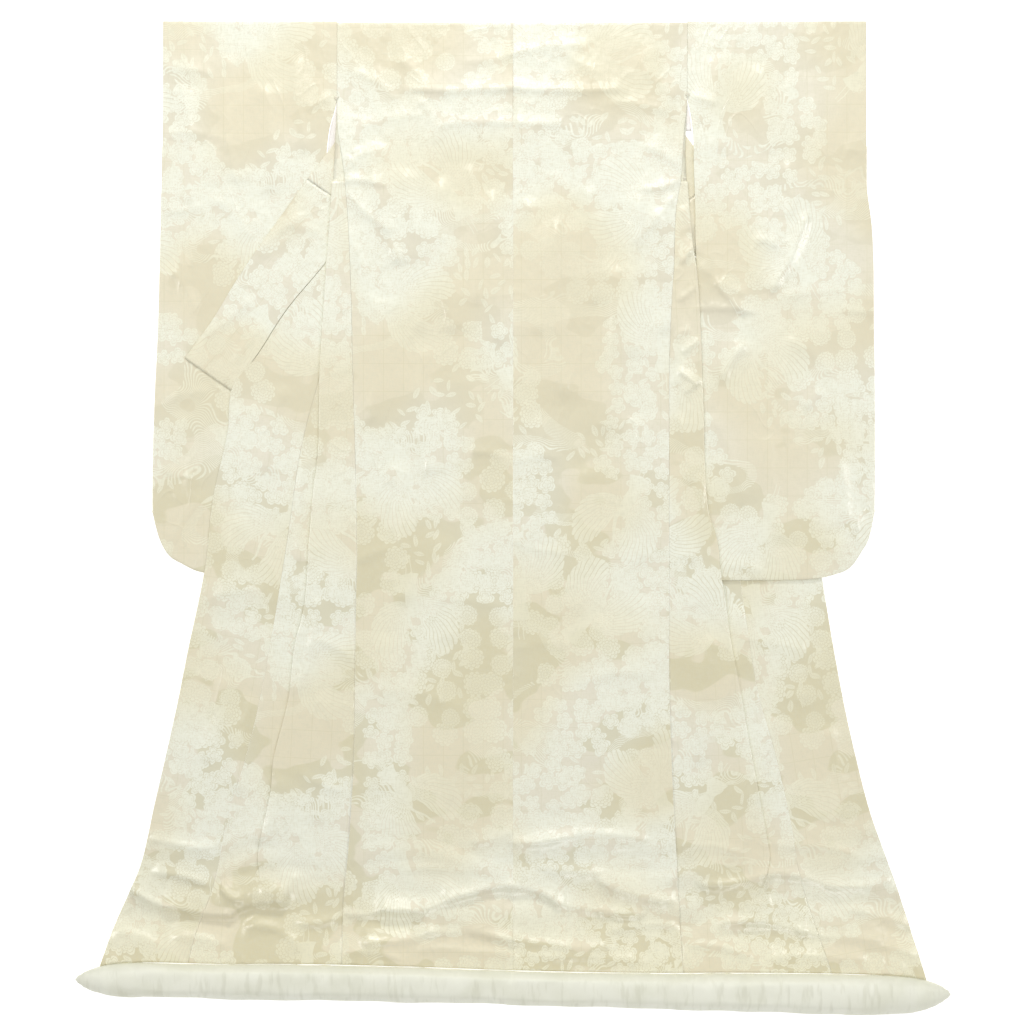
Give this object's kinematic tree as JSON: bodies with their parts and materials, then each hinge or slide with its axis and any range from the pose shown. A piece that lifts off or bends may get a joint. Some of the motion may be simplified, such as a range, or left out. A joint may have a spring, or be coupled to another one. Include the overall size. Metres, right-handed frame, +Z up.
{
  "type": "uchikake wedding kimono laid flat",
  "caption": "Long silk over-kimono laid flat with its back up, its fronts drawn out sideways, long sleeves and a padded hem roll.",
  "frame": {"origin": "on the surface that the kimono lies on, under the middle of its bounding box", "axes": "+Z up out of the cloth, +Y to the neck, +X to the right as one looks down on the back of the kimono"},
  "size_m": [1.63, 1.845, 0.044],
  "materials": {
    "damask": "satin",
    "lining": "satin",
    "padded_hem": "satin"
  },
  "bodies": {
    "root": {"back_left": "damask", "back_right": "damask", "front_left": "damask", "front_right": "damask", "okumi_left": "damask", "okumi_right": "damask", "sleeve_left": "damask", "sleeve_right": "damask", "collar_left": "damask", "over_collar_left": "damask", "over_collar_neck": "damask", "over_collar_right": "damask", "collar_right": "damask", "lining_left": "lining", "lining_right": "lining", "hem_roll": "padded_hem"}
  },
  "joints": []
}
